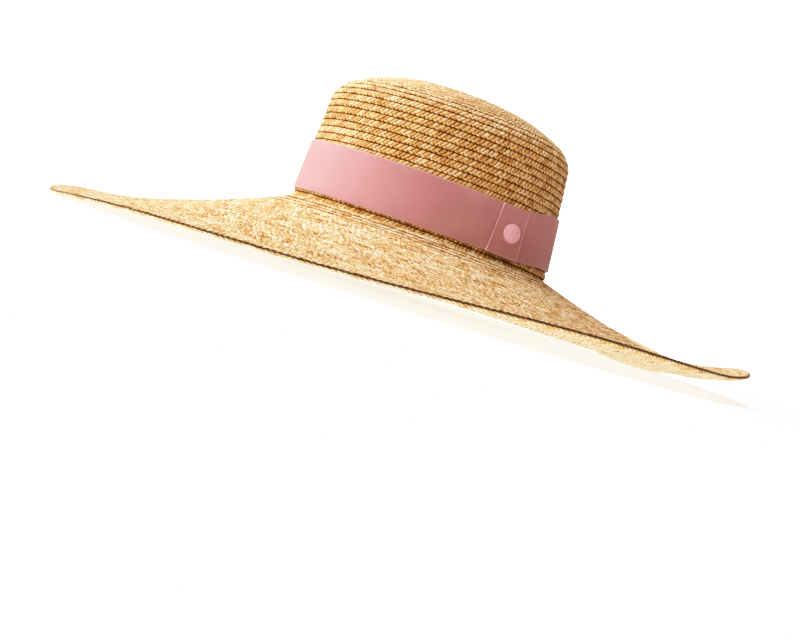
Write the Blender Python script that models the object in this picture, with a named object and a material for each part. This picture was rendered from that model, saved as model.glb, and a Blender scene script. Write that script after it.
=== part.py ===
"""Wide-brimmed boater hat of sewn straw braid.

Metres, +Z up. The hat stands on Z = 0 as it would on a table, front towards -Y and the
wearer's left towards +X. An angle goes round the hat from the front (0) past the wearer's
left (90) to the back (180). Heights on the crown and the brim are measured from the oval
line where the two meet, the foot line.
"""

import math

import bmesh
import bpy

# Straw
STRAW_THICKNESS = 0.002
BRIM_THICKNESS = 0.0022
GAP = 0.0003

# Crown: an oval wall that leans in, a round shoulder and a low dome
FOOT_HALF_LENGTH = 0.1019
FOOT_HALF_WIDTH = 0.0856
CROWN_TAPER = 0.0857
WALL_HEIGHT = 0.0784
SHOULDER_RADIUS = 0.0218
DOME_SLOPE = math.radians(28.4)
CENTRE_HALF_WIDTH = 0.005
WALL_STEPS = 3
SHOULDER_STEPS = 5
DOME_STEPS = 5
CROWN_SIDES = 64

# The foot line drops towards the back, and the crown grows taller there, so its top is level
FOOT_DROP = 0.0303
BACK_RISE = 0.359

# Brim: it falls away from the foot line and curls up again near the rim
RIM_HALF_LENGTH = 0.2601
RIM_HALF_WIDTH = 0.2437
EARLY_FALL = 0.485
EARLY_FALL_SWING = 0.058
CURL_START = 0.62
BRIM_SIDES = 96
BRIM_STEPS = 13
BRIM_TABLE = (
    # angle, fall, curl
    (0, 0.0455, 0.0040),
    (30, 0.0399, 0.0035),
    (60, 0.0382, 0.0044),
    (90, 0.0429, 0.0153),
    (120, 0.0440, 0.0170),
    (150, 0.0408, 0.0208),
    (180, 0.0543, 0.0262),
    (210, 0.0412, 0.0273),
    (240, 0.0431, 0.0188),
    (270, 0.0424, 0.0134),
    (300, 0.0409, 0.0044),
    (330, 0.0402, 0.0032),
)

# Resting: the lowest straw, in front and at the back, is pressed level on the table
FOOT_HEIGHT = 0.0438

# Edge row: one more braid row sewn under the rim
EDGE_ROW_WIDTH = 0.006
EDGE_ROW_THICKNESS = 0.0015
EDGE_ROW_OVERHANG = 0.0006

# Band and tab. Behind the tab the band's other end lies higher on the crown
BAND_THICKNESS = 0.0010
BAND_ROWS = 2
BAND_TABLE = (
    # angle, bottom edge, top edge
    (15, 0.0064, 0.0435),
    (50, 0.0055, 0.0421),
    (95, 0.0056, 0.0406),
    (108, 0.0058, 0.0406),
    (138, 0.0106, 0.0465),
    (180, 0.0113, 0.0478),
    (260, 0.0095, 0.0465),
    (340, 0.0076, 0.0456),
)
TAB_THICKNESS = 0.0012
TAB_STEPS = 6
TAB_BOTTOM = 0.0052
TAB_BOTTOM_START = 95.8
TAB_BOTTOM_END = 112.5
TAB_TOP = 0.0403
TAB_TOP_START = 98.8
TAB_TOP_END = 113.7

# Button: a domed cap with a fine rim, on a post through the tab and the band
BUTTON_ANGLE = 105.0
BUTTON_HEIGHT = 0.0222
BUTTON_RADIUS = 0.0068
BUTTON_RIM_WIDTH = 0.0008
BUTTON_RIM_HEIGHT = 0.0011
BUTTON_GROOVE_DEPTH = 0.0002
BUTTON_DOME_HEIGHT = 0.0021
BUTTON_DOME_STEPS = 4
BUTTON_SIDES = 28
POST_RADIUS = 0.0016
HOLE_RADIUS = 0.0019
HOLE_SIDES = 16

# Colours, roughness
STRAW_FINISH = ((0.66, 0.42, 0.19, 1.0), 0.62)
EDGE_FINISH = ((0.58, 0.36, 0.16, 1.0), 0.65)
BAND_FINISH = ((0.58, 0.26, 0.25, 1.0), 0.45)
TAB_FINISH = ((0.55, 0.24, 0.23, 1.0), 0.45)
BUTTON_FINISH = ((0.71, 0.31, 0.35, 1.0), 0.30)


def clear_scene():
    for old in list(bpy.data.objects):
        bpy.data.objects.remove(old)


def make_material(name, finish):
    colour, roughness = finish
    material = bpy.data.materials.new(name)
    material.use_nodes = True
    shader = material.node_tree.nodes["Principled BSDF"]
    shader.inputs["Base Color"].default_value = colour
    shader.inputs["Roughness"].default_value = roughness
    shader.inputs["Metallic"].default_value = 0.0
    material.diffuse_color = colour
    return material


def skin_rings(name, rings, finish, parent, closed=False, poles=None):
    """Joins rings of equal length with faces.

    A closed section joins the last ring to the first. Poles end the rings in one point each.
    With neither, the first and last ring are filled flat.
    """
    sides = len(rings[0])
    mesh = bmesh.new()
    grid = [[mesh.verts.new(point) for point in ring] for ring in rings]
    pairs = list(zip(grid, grid[1:]))
    if closed:
        pairs.append((grid[-1], grid[0]))
    for lower, upper in pairs:
        for i in range(sides):
            j = (i + 1) % sides
            mesh.faces.new((lower[i], lower[j], upper[j], upper[i]))
    if poles:
        for ring, point in ((grid[0], poles[0]), (grid[-1], poles[1])):
            pole = mesh.verts.new(point)
            for i in range(sides):
                mesh.faces.new((ring[i], ring[(i + 1) % sides], pole))
    elif not closed:
        mesh.faces.new(grid[0])
        mesh.faces.new(grid[-1])
    bmesh.ops.recalc_face_normals(mesh, faces=mesh.faces)
    data = bpy.data.meshes.new(name)
    mesh.to_mesh(data)
    mesh.free()
    data.materials.append(make_material(name, finish))
    thing = bpy.data.objects.new(name, data)
    bpy.context.collection.objects.link(thing)
    thing.parent = parent
    return thing


def angles_round(sides):
    return [math.tau * i / sides for i in range(sides)]


def crown_point(angle, height, inset):
    """A point on the crown, inset from the foot oval; a negative inset stands outside it."""
    x = (FOOT_HALF_WIDTH - inset) * math.sin(angle)
    y = -(FOOT_HALF_LENGTH - inset) * math.cos(angle)
    return (x, y, height * (1 + BACK_RISE * y) - FOOT_DROP * y)


def wall_point(angle, height, standoff):
    """A point beside the crown's straight wall, at a distance outside it."""
    return crown_point(angle, height, CROWN_TAPER * height - standoff)


def crown_profile():
    """Heights and insets of the outer surface, from the foot to the middle of the dome."""
    foot = BRIM_THICKNESS / 2 + GAP
    profile = []
    for i in range(WALL_STEPS):
        height = foot + (WALL_HEIGHT - foot) * i / WALL_STEPS
        profile.append((height, CROWN_TAPER * height))
    lean = math.atan(CROWN_TAPER)
    arc_inset = CROWN_TAPER * WALL_HEIGHT + SHOULDER_RADIUS * math.cos(lean)
    arc_height = WALL_HEIGHT - SHOULDER_RADIUS * math.sin(lean)
    arc_end = math.pi / 2 - DOME_SLOPE
    for i in range(SHOULDER_STEPS + 1):
        turn = lean + (arc_end - lean) * i / SHOULDER_STEPS
        profile.append((arc_height + SHOULDER_RADIUS * math.sin(turn),
                        arc_inset - SHOULDER_RADIUS * math.cos(turn)))
    start_height, start_inset = profile[-1]
    run = FOOT_HALF_WIDTH - CENTRE_HALF_WIDTH - start_inset
    for i in range(1, DOME_STEPS + 1):
        step = run * i / DOME_STEPS
        rise = math.tan(DOME_SLOPE) * (step - step * step / (2 * run))
        profile.append((start_height + rise, start_inset + step))
    return profile


def offset_inwards(profile, distance):
    """The same profile, moved square to itself into the straw; the foot stays level."""
    moved = []
    for i, (height, inset) in enumerate(profile):
        before = profile[max(i - 1, 0)]
        after = profile[min(i + 1, len(profile) - 1)]
        rise, run = after[0] - before[0], after[1] - before[1]
        length = math.hypot(rise, run)
        drop = distance * run / length if i else 0.0
        moved.append((height - drop, inset + distance * rise / length))
    return moved


def build_crown(parent):
    outside = crown_profile()
    inside = offset_inwards(outside, STRAW_THICKNESS)
    section = inside[::-1] + outside
    rings = [[crown_point(angle, height, inset) for angle in angles_round(CROWN_SIDES)]
             for height, inset in section]
    poles = ((0.0, 0.0, inside[-1][0]), (0.0, 0.0, outside[-1][0]))
    skin_rings("crown", rings, STRAW_FINISH, parent, poles=poles)


def brim_table_at(angle, column):
    """A column of the brim's table at any angle, smooth all the way round."""
    count = len(BRIM_TABLE)
    place = math.degrees(angle) % 360 / 360 * count
    row = int(place)
    t = place - row
    a, b, c, d = (BRIM_TABLE[(row + i) % count][column] for i in (-1, 0, 1, 2))
    return b + t * (c - a + t * (2 * a - 5 * b + 4 * c - d + t * (3 * (b - c) + d - a))) / 2


def brim_point(angle, fraction):
    """The middle of the brim's thickness; fraction is 0 at the foot line and 1 at the rim."""
    fall = brim_table_at(angle, 1)
    curl = brim_table_at(angle, 2)
    early = EARLY_FALL - EARLY_FALL_SWING * math.cos(angle)
    share = fraction * (1 - early) + early * (1 - (1 - fraction) ** 2)
    lift = max(0.0, (fraction - CURL_START) / (1 - CURL_START)) ** 2
    half_width = FOOT_HALF_WIDTH + (RIM_HALF_WIDTH - FOOT_HALF_WIDTH) * fraction
    half_length = FOOT_HALF_LENGTH + (RIM_HALF_LENGTH - FOOT_HALF_LENGTH) * fraction
    foot_line = FOOT_DROP * FOOT_HALF_LENGTH * math.cos(angle) * (1 - fraction) ** 2
    return (half_width * math.sin(angle), -half_length * math.cos(angle),
            foot_line - fall * share + curl * lift)


def shifted(point, up):
    """A point moved up or down, but never through the table."""
    x, y, z = point
    return (x, y, max(z + up, -FOOT_HEIGHT))


def build_brim(parent):
    angles = angles_round(BRIM_SIDES)
    half = BRIM_THICKNESS / 2
    lip = [crown_point(angle, 0.0, STRAW_THICKNESS) for angle in angles]
    middle = [lip]
    for i in range(BRIM_STEPS + 1):
        middle.append([brim_point(angle, i / BRIM_STEPS) for angle in angles])
    top = [[shifted(point, half) for point in ring] for ring in middle]
    bottom = [[shifted(point, -half) for point in ring] for ring in middle]
    skin_rings("brim", top + bottom[::-1], STRAW_FINISH, parent, closed=True)


def build_edge_row(parent):
    width = RIM_HALF_LENGTH - FOOT_HALF_LENGTH
    inner = 1 - EDGE_ROW_WIDTH / width
    outer = 1 + EDGE_ROW_OVERHANG / width
    top = -BRIM_THICKNESS / 2 - GAP
    bottom = top - EDGE_ROW_THICKNESS
    corners = ((inner, top), (outer, top), (outer, bottom), (inner, bottom))
    rings = [[shifted(brim_point(angle, fraction), up) for angle in angles_round(BRIM_SIDES)]
             for fraction, up in corners]
    skin_rings("edge_row", rings, EDGE_FINISH, parent, closed=True)


def band_edges(angle):
    """Heights of the band's bottom and top edges at any angle, easing from row to row."""
    degrees = (math.degrees(angle) - BAND_TABLE[0][0]) % 360 + BAND_TABLE[0][0]
    first = max(i for i, row in enumerate(BAND_TABLE) if row[0] <= degrees)
    start, *edges = BAND_TABLE[first]
    end, *next_edges = BAND_TABLE[(first + 1) % len(BAND_TABLE)]
    t = (degrees - start) / ((end - start) % 360)
    ease = t * t * (3 - 2 * t)
    return [edge + (next_edge - edge) * ease for edge, next_edge in zip(edges, next_edges)]


def build_band(parent):
    inner, outer = GAP, GAP + BAND_THICKNESS
    shares = [i / BAND_ROWS for i in range(BAND_ROWS + 1)]
    section = [(share, outer) for share in shares] + [(share, inner) for share in reversed(shares)]
    rings = []
    for share, standoff in section:
        ring = []
        for angle in angles_round(CROWN_SIDES):
            bottom, top = band_edges(angle)
            ring.append(wall_point(angle, bottom + (top - bottom) * share, standoff))
        rings.append(ring)
    return skin_rings("band", rings, BAND_FINISH, parent, closed=True)


def build_tab(parent):
    inner = GAP + BAND_THICKNESS + GAP
    outer = inner + TAB_THICKNESS
    bottom = (TAB_BOTTOM, TAB_BOTTOM_START, TAB_BOTTOM_END)
    top = (TAB_TOP, TAB_TOP_START, TAB_TOP_END)
    rings = []
    for i in range(TAB_STEPS + 1):
        ring = []
        for (height, start, end), standoff in ((bottom, inner), (bottom, outer), (top, outer), (top, inner)):
            angle = math.radians(start + (end - start) * i / TAB_STEPS)
            ring.append(wall_point(angle, height, standoff))
        rings.append(ring)
    return skin_rings("band_tab", rings, TAB_FINISH, parent)


def button_frame():
    """Where the button sits on the tab, and the turns that point its axis out of the wall."""
    angle = math.radians(BUTTON_ANGLE)
    seat = GAP + BAND_THICKNESS + GAP + TAB_THICKNESS + GAP
    outward = math.atan2(math.sin(angle) / FOOT_HALF_WIDTH, -math.cos(angle) / FOOT_HALF_LENGTH)
    tilt = math.pi / 2 - math.atan(CROWN_TAPER)
    return wall_point(angle, BUTTON_HEIGHT, seat), (0.0, tilt, math.pi / 2 - outward)


def build_button(parent):
    place, turn = button_frame()
    depth = BAND_THICKNESS + TAB_THICKNESS + 2 * GAP
    groove = BUTTON_RADIUS - BUTTON_RIM_WIDTH
    groove_height = BUTTON_RIM_HEIGHT - BUTTON_GROOVE_DEPTH
    profile = [(POST_RADIUS, -depth), (POST_RADIUS, 0.0), (BUTTON_RADIUS, 0.0),
               (BUTTON_RADIUS, BUTTON_RIM_HEIGHT), (groove, BUTTON_RIM_HEIGHT),
               (groove, groove_height)]
    for i in range(1, BUTTON_DOME_STEPS):
        share = 1 - i / BUTTON_DOME_STEPS
        rise = (BUTTON_DOME_HEIGHT - groove_height) * (1 - share * share)
        profile.append((groove * share, groove_height + rise))
    rings = [[(radius * math.cos(angle), radius * math.sin(angle), height)
              for angle in angles_round(BUTTON_SIDES)] for radius, height in profile]
    poles = ((0.0, 0.0, -depth), (0.0, 0.0, BUTTON_DOME_HEIGHT))
    button = skin_rings("button", rings, BUTTON_FINISH, parent, poles=poles)
    button.location = place
    button.rotation_euler = turn


def drill_for_post(things):
    """Cuts the post's hole through each thing and drops the drill again."""
    place, turn = button_frame()
    bpy.ops.mesh.primitive_cylinder_add(vertices=HOLE_SIDES, radius=HOLE_RADIUS,
                                        depth=2 * BUTTON_RADIUS)
    drill = bpy.context.object
    drill.parent = things[0].parent
    drill.location = place
    drill.rotation_euler = turn
    for thing in things:
        cut = thing.modifiers.new("post_hole", "BOOLEAN")
        cut.operation = "DIFFERENCE"
        cut.solver = "EXACT"
        cut.object = drill
        bpy.context.view_layer.objects.active = thing
        bpy.context.view_layer.update()
        with bpy.context.temp_override(object=thing, active_object=thing):
            bpy.ops.object.modifier_apply(modifier=cut.name)
    bpy.data.objects.remove(drill)


def main():
    clear_scene()
    hat = bpy.data.objects.new("hat", None)
    bpy.context.collection.objects.link(hat)
    hat.location = (0.0, 0.0, FOOT_HEIGHT)
    build_crown(hat)
    build_brim(hat)
    build_edge_row(hat)
    band = build_band(hat)
    tab = build_tab(hat)
    build_button(hat)
    drill_for_post([band, tab])


main()
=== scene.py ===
# %% [markdown]
# # A wide boater hat of sewn straw braid
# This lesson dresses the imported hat: its straw, its strap and its stud. The hat's real size and
# place come from the CAD frame, and everything made here is fitted to that frame. We start by
# loading it.

# %% Load the frame
import math

import bpy
import numpy as np
from mathutils import Matrix, Vector


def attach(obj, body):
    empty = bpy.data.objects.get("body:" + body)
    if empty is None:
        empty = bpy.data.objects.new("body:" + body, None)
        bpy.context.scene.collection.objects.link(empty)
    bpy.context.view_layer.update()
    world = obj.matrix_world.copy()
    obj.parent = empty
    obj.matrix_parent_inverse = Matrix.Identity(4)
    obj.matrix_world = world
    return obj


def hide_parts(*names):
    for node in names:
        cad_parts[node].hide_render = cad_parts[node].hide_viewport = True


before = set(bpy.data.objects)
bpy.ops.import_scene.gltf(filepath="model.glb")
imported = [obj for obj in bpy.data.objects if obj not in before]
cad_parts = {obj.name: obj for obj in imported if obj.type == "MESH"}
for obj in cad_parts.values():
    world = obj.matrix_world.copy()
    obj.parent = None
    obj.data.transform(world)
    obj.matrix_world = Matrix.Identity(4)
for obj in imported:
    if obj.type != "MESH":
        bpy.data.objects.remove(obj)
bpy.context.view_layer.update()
print("nodes:", sorted(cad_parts))

# %% [markdown]
# The hat's shape is worked out from a few driving sizes, the same ones that shaped the CAD solids.
# The crown is a stack of ovals that lean in, turn over a round shoulder and close in a low dome.
# The brim is a sheet that falls away from the foot of the crown and curls up again near its rim.
# We could have read points off the CAD mesh, but a formula can be sampled as finely as the straw
# needs, and it gives a clean direction along the braid and across it.

# %% Driving sizes of the hat, in metres
MM = 0.001
FOOT_HEIGHT = 43.8 * MM
FOOT_HALF_LENGTH = 101.9 * MM
FOOT_HALF_WIDTH = 85.6 * MM
FOOT_DROP = 0.0303
BACK_RISE = 0.359
CROWN_TAPER = 0.0857
WALL_HEIGHT = 78.4 * MM
SHOULDER_RADIUS = 21.8 * MM
DOME_SLOPE = math.radians(28.4)
CENTRE_HALF_WIDTH = 5 * MM
FOOT_FLARE, FLARE_HEIGHT = 2 * MM, 3 * MM
STRAW_THICKNESS = 2 * MM
BRIM_THICKNESS = 2.2 * MM
RIM_HALF_LENGTH = 260.1 * MM
RIM_HALF_WIDTH = 243.7 * MM
BRIM_REACH = RIM_HALF_LENGTH - FOOT_HALF_LENGTH
EARLY_FALL = 0.485
EARLY_FALL_SWING = 0.058
CURL_START = 0.62
BRIM_TABLE = np.array([
    # fall, curl in mm, every 30 degrees from the front towards the wearer's left
    (45.5, 4.0), (39.9, 3.5), (38.2, 4.4), (42.9, 15.3), (44.0, 17.0), (40.8, 20.8),
    (54.3, 26.2), (41.2, 27.3), (43.1, 18.8), (42.4, 13.4), (40.9, 4.4), (40.2, 3.2),
]) * MM
print("brim reach, mm:", round(BRIM_REACH / MM, 1))

# %% [markdown]
# An angle goes round the hat: 0 at the front, 90 degrees at the wearer's left, 180 at the back.
# The crown's profile is a leaning line, then an arc, then a parabola that ends level in the middle.
# The last few millimetres above the brim flare out, where the braid bends round the corner.
# Sampling it once by its own length lets a braid row be laid by the distance that it really takes up.

# %% The crown's surface
PROFILE_START = -0.02  # as a share of the wall's height, so a little below the foot


def oval(angle, height, inset):
    x = (FOOT_HALF_WIDTH - inset) * np.sin(angle)
    y = -(FOOT_HALF_LENGTH - inset) * np.cos(angle)
    z = FOOT_HEIGHT + height * (1 + BACK_RISE * y) - FOOT_DROP * y
    return np.stack([x, y, z], axis=-1)


def crown_profile(samples=200):
    lean = math.atan(CROWN_TAPER)
    wall = np.linspace(PROFILE_START, 1, samples) * WALL_HEIGHT
    flare = FOOT_FLARE * np.maximum(0, 1 - wall / FLARE_HEIGHT) ** 2
    wall = np.stack([wall, CROWN_TAPER * wall - flare])
    turn = np.linspace(lean, math.pi / 2 - DOME_SLOPE, samples)[1:]
    arc_height = WALL_HEIGHT - SHOULDER_RADIUS * math.sin(lean)
    arc_inset = CROWN_TAPER * WALL_HEIGHT + SHOULDER_RADIUS * math.cos(lean)
    arc = np.stack([
        arc_height + SHOULDER_RADIUS * np.sin(turn),
        arc_inset - SHOULDER_RADIUS * np.cos(turn),
    ])
    run = FOOT_HALF_WIDTH - CENTRE_HALF_WIDTH - arc[1, -1]
    step = np.linspace(0, run + CENTRE_HALF_WIDTH, samples)[1:]
    rise = math.tan(DOME_SLOPE) * (np.minimum(step, run) - np.minimum(step, run) ** 2 / (2 * run))
    dome = np.stack([arc[0, -1] + rise, arc[1, -1] + step])
    height, inset = np.concatenate([wall, arc, dome], axis=1)
    length = np.concatenate([[0], np.cumsum(np.hypot(np.diff(height), np.diff(inset)))])
    return length - np.interp(0, height, length), height, inset


PROFILE_LENGTH, PROFILE_HEIGHT, PROFILE_INSET = crown_profile()
CROWN_REACH = PROFILE_LENGTH[-1]


def crown_surface(angle, reach):
    height = np.interp(reach, PROFILE_LENGTH, PROFILE_HEIGHT)
    return oval(angle, height, np.interp(reach, PROFILE_LENGTH, PROFILE_INSET))


print("from the foot to the middle of the top, mm:", round(CROWN_REACH / MM, 1))

# %% [markdown]
# The brim's fall and curl change round the hat, so they come from a table of twelve rows.
# A Catmull-Rom curve runs smoothly through the rows and closes on itself. Reach is the distance out
# from the crown's foot. The surface here is the middle of the brim's thickness, as in the CAD.

# %% The brim's surface
def brim_table_at(angle):
    count = len(BRIM_TABLE)
    place = np.degrees(angle) % 360 / 360 * count
    row = place.astype(int)
    t = (place - row)[..., None]
    a, b, c, d = (BRIM_TABLE[(row + i) % count] for i in (-1, 0, 1, 2))
    mix = b + t * (c - a + t * (2 * a - 5 * b + 4 * c - d + t * (3 * (b - c) + d - a))) / 2
    return mix[..., 0], mix[..., 1]


def brim_surface(angle, reach):
    fraction = reach / BRIM_REACH
    fall, curl = brim_table_at(angle)
    early = EARLY_FALL - EARLY_FALL_SWING * np.cos(angle)
    share = fraction * (1 - early) + early * (1 - (1 - fraction) ** 2)
    lift = np.maximum(0, (fraction - CURL_START) / (1 - CURL_START)) ** 2
    x = (FOOT_HALF_WIDTH + (RIM_HALF_WIDTH - FOOT_HALF_WIDTH) * fraction) * np.sin(angle)
    y = -(FOOT_HALF_LENGTH + (RIM_HALF_LENGTH - FOOT_HALF_LENGTH) * fraction) * np.cos(angle)
    foot_line = FOOT_DROP * FOOT_HALF_LENGTH * np.cos(angle) * (1 - fraction) ** 2
    return np.stack([x, y, FOOT_HEIGHT + foot_line - fall * share + curl * lift], axis=-1)


def outward(surface, angle, reach, up):
    """Unit normals of a surface. up is 1 or -1, whichever makes them point out of the hat."""
    step = 1e-4
    around = surface(angle + step, reach) - surface(angle - step, reach)
    along = surface(angle, reach + step) - surface(angle, reach - step)
    normal = np.cross(around, along) * up
    return normal / np.maximum(np.linalg.norm(normal, axis=-1, keepdims=True), 1e-12)


rim_at_back = brim_surface(np.array(math.pi), np.array(BRIM_REACH))
print("rim height at the back, mm:", np.round(rim_at_back[2] / MM, 1))

# %% [markdown]
# Now the camera, before any looks, because how fine the straw has to be depends on how it is seen.
# The photograph's camera was worked out from the hat's rows, strap and rim. It stands off the wearer's
# left, 24 degrees towards the front, just above the table, and leans over by 17 degrees, which is
# why the hat seems to slope down to the right.

# %% Camera
CAMERA_PLACE = Vector((692.1 * MM, -308.7 * MM, 19.2 * MM))
CAMERA_HEADING = math.radians(155.68)
CAMERA_PITCH = math.radians(-2.72)
CAMERA_ROLL = math.radians(17.3)
FOCAL_PIXELS = 1007.3
IMAGE_WIDTH = 800

camera = bpy.data.objects.new("camera", bpy.data.cameras.new("camera"))
camera.data.sensor_width = 36
camera.data.lens = camera.data.sensor_width * FOCAL_PIXELS / IMAGE_WIDTH
camera.data.clip_start = 0.01
forward = Vector((
    math.cos(CAMERA_HEADING) * math.cos(CAMERA_PITCH),
    math.sin(CAMERA_HEADING) * math.cos(CAMERA_PITCH),
    math.sin(CAMERA_PITCH),
))
level_right = forward.cross(Vector((0, 0, 1))).normalized()
level_up = level_right.cross(forward)
right = level_right * math.cos(CAMERA_ROLL) + level_up * math.sin(CAMERA_ROLL)
turned = Matrix((right, right.cross(forward), -forward)).transposed()
camera.matrix_world = Matrix.Translation(CAMERA_PLACE) @ turned.to_4x4()
bpy.context.scene.collection.objects.link(camera)
bpy.context.scene.camera = camera
print("lens, mm:", round(camera.data.lens, 2))

# %% [markdown]
# ## Light
# The world and every material are trees of nodes. A few short helpers keep them readable: one adds
# a node, one feeds a socket with a number or with another node's output, and the rest wrap the
# nodes that we use most, so that a tree reads like a sum from top to bottom.

# %% Node helpers
def add(tree, kind, **settings):
    made = tree.nodes.new(kind)
    for name, value in settings.items():
        setattr(made, name, value)
    return made


def feed(tree, target, socket, value):
    if hasattr(value, "is_output"):
        tree.links.new(value, target.inputs[socket])
    else:
        target.inputs[socket].default_value = value


def feed_all(tree, target, **values):
    """Feeds sockets by their names, where _ stands for a space."""
    for name, value in values.items():
        feed(tree, target, name.replace("_", " "), value)
    return target


def math_node(tree, operation, first, second=0.0, clamp=False):
    made = add(tree, "ShaderNodeMath", operation=operation, use_clamp=clamp)
    feed(tree, made, 0, first)
    feed(tree, made, 1, second)
    return made.outputs[0]


def times(tree, first, second):
    return math_node(tree, "MULTIPLY", first, second)


def plus(tree, first, second):
    return math_node(tree, "ADD", first, second)


def map_range(tree, value, low=0.0, high=1.0, to_low=0.0, to_high=1.0, smooth=False):
    made = add(tree, "ShaderNodeMapRange", interpolation_type="SMOOTHSTEP" if smooth else "LINEAR")
    sockets = ("Value", "From Min", "From Max", "To Min", "To Max")
    for socket, given in zip(sockets, (value, low, high, to_low, to_high)):
        feed(tree, made, socket, given)
    return made.outputs["Result"]


def mix_colours(tree, factor, first, second):
    mix = add(tree, "ShaderNodeMix", data_type="RGBA")
    return feed_all(tree, mix, Factor=factor, A=first, B=second).outputs["Result"]


def power_of_colour(tree, colour, power):
    return feed_all(tree, add(tree, "ShaderNodeGamma"), Color=colour, Gamma=power).outputs["Color"]


def parts_of(tree, vector):
    return feed_all(tree, add(tree, "ShaderNodeSeparateXYZ"), Vector=vector).outputs


def object_place(tree):
    return add(tree, "ShaderNodeTexCoord").outputs["Object"]


def uv_layer(tree, name):
    return add(tree, "ShaderNodeUVMap", uv_map=name).outputs["UV"]


def shade_ramp(tree, tone, shades_given):
    """A colour ramp through the shades, which are pairs of a place on the ramp and a colour."""
    ramp = add(tree, "ShaderNodeValToRGB")
    shades = ramp.color_ramp.elements
    while len(shades) < len(shades_given):
        shades.new(1.0)
    for element, (place, colour) in zip(shades, shades_given):
        element.position = place
        element.color = (*colour, 1)
    feed(tree, ramp, "Fac", tone)
    return ramp.outputs["Color"]


def new_material(name):
    """A material, its node tree and its Principled BSDF."""
    material = bpy.data.materials.new(name)
    material.use_nodes = True
    return material, material.node_tree, material.node_tree.nodes["Principled BSDF"]


print("node helpers ready")

# %% [markdown]
# The photograph is high-key: a white sweep all round, a big soft light on the left, and shade
# on the right. A white world gives the sweep. Seen directly it is pure white. As a light it is
# brightest on the left of the picture, and dim and warm on the right, so the left side shines and the
# right side keeps its full colour. A dot product with the direction to the left does that.
# A camera also rolls off its highlights: near white it squeezes them together and lets their colour
# go pale. A tone curve does the same, straight up to mid tones and bending over above.

# %% World
scene = bpy.context.scene
scene.view_settings.view_transform = "Standard"
FILM_WHITE = 2.0
FILM_CURVE = (
    # scene light as a share of FILM_WHITE, brightness
    (0.0, 0.0), (0.1, 0.2), (0.2, 0.4), (0.3, 0.58), (0.4, 0.73),
    (0.5, 0.84), (0.65, 0.94), (0.8, 0.985), (1.0, 1.0),
)
PICTURE_LEFT = (-0.41, -0.91, 0.0)
SWEEP_SEEN = 2.2
SEEN_WHITE = (1, 0.99, 0.98, 1)
SWEEP_RIGHT, SWEEP_LEFT = 0.02, 2.2
SWEEP_POWER = 2.9
SWEEP_SHADES = (
    # place from right to left, colour
    (0.0, (1, 0.385, 0.118)),
    (0.95, (0.92, 0.97, 1)),
)

film = scene.view_settings.curve_mapping
film.white_level = (FILM_WHITE, FILM_WHITE, FILM_WHITE)
points = film.curves[3].points
while len(points) < len(FILM_CURVE):
    points.new(0.5, 0.5)
for point, location in zip(points, FILM_CURVE):
    point.location = location
film.update()
scene.view_settings.use_curve_mapping = True

world = bpy.data.worlds.new("white_sweep")
scene.world = world
world.use_nodes = True
tree = world.node_tree
background = tree.nodes["Background"]
leftness = add(tree, "ShaderNodeVectorMath", operation="DOT_PRODUCT")
feed(tree, leftness, 0, add(tree, "ShaderNodeTexCoord").outputs["Generated"])
feed(tree, leftness, 1, PICTURE_LEFT)
across = map_range(tree, leftness.outputs["Value"], -1.0, 1.0)
steeper = math_node(tree, "POWER", across, SWEEP_POWER)
strength = map_range(tree, steeper, to_low=SWEEP_RIGHT, to_high=SWEEP_LEFT)
seen = add(tree, "ShaderNodeLightPath").outputs["Is Camera Ray"]
tint = shade_ramp(tree, across, SWEEP_SHADES)
feed(tree, background, "Color", mix_colours(tree, seen, tint, SEEN_WHITE))
feed(tree, background, "Strength", map_range(tree, seen, to_low=strength, to_high=SWEEP_SEEN))
print("world:", world.name)

# %% [markdown]
# Three area lights stand for the studio's soft boxes. The key is large and low on the left of the
# picture, where the strap and the straw mirror it as a broad pale gloss. One overhead lights the
# brim and the dome, and a weak one near the camera keeps the right end from going black.

# %% Soft boxes
HAT_MIDDLE = Vector((0, 0, 0.08))
SOFT_BOXES = (
    # name, place in metres, width and height in metres, watts, colour
    ("key_light", (-0.2, -1.84, 0.6), (2.2, 1.2), 34, (0.92, 0.97, 1)),
    ("top_light", (-0.25, -0.5, 2.0), (1.4, 1.4), 44, (0.99, 0.99, 1)),
    ("fill_light", (1.3, 0.3, 1.5), (0.9, 0.9), 3, (1, 0.66, 0.45)),
)


def soft_box(name, place, size, power, colour):
    light = bpy.data.lights.new(name, "AREA")
    light.shape = "RECTANGLE"
    light.size, light.size_y = size
    light.energy = power
    light.color = colour
    lamp = bpy.data.objects.new(name, light)
    aim = (HAT_MIDDLE - Vector(place)).to_track_quat("-Z", "Y")
    lamp.matrix_world = Matrix.Translation(place) @ aim.to_matrix().to_4x4()
    scene.collection.objects.link(lamp)


for box in SOFT_BOXES:
    soft_box(*box)
print("lights:", [box[0] for box in SOFT_BOXES])

# %% [markdown]
# Everything below is swept from rows of points, so one helper turns a grid of points into a mesh.
# Blender's from_pydata would do it too, but the straw has a million faces, and handing whole
# numpy arrays to foreach_set is many times faster. The helper also stores a UV layer, which is
# where we keep the braid's own coordinates for the material.

# %% Grids to meshes
def grid_quads(rows, columns, close_rows=False, close_columns=False):
    index = np.arange(rows * columns).reshape(rows, columns)
    if close_rows:
        index = np.concatenate([index, index[:1]], axis=0)
    if close_columns:
        index = np.concatenate([index, index[:, :1]], axis=1)
    corners = (index[:-1, :-1], index[1:, :-1], index[1:, 1:], index[:-1, 1:])
    return np.stack(corners, axis=-1).reshape(-1, 4)


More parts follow.
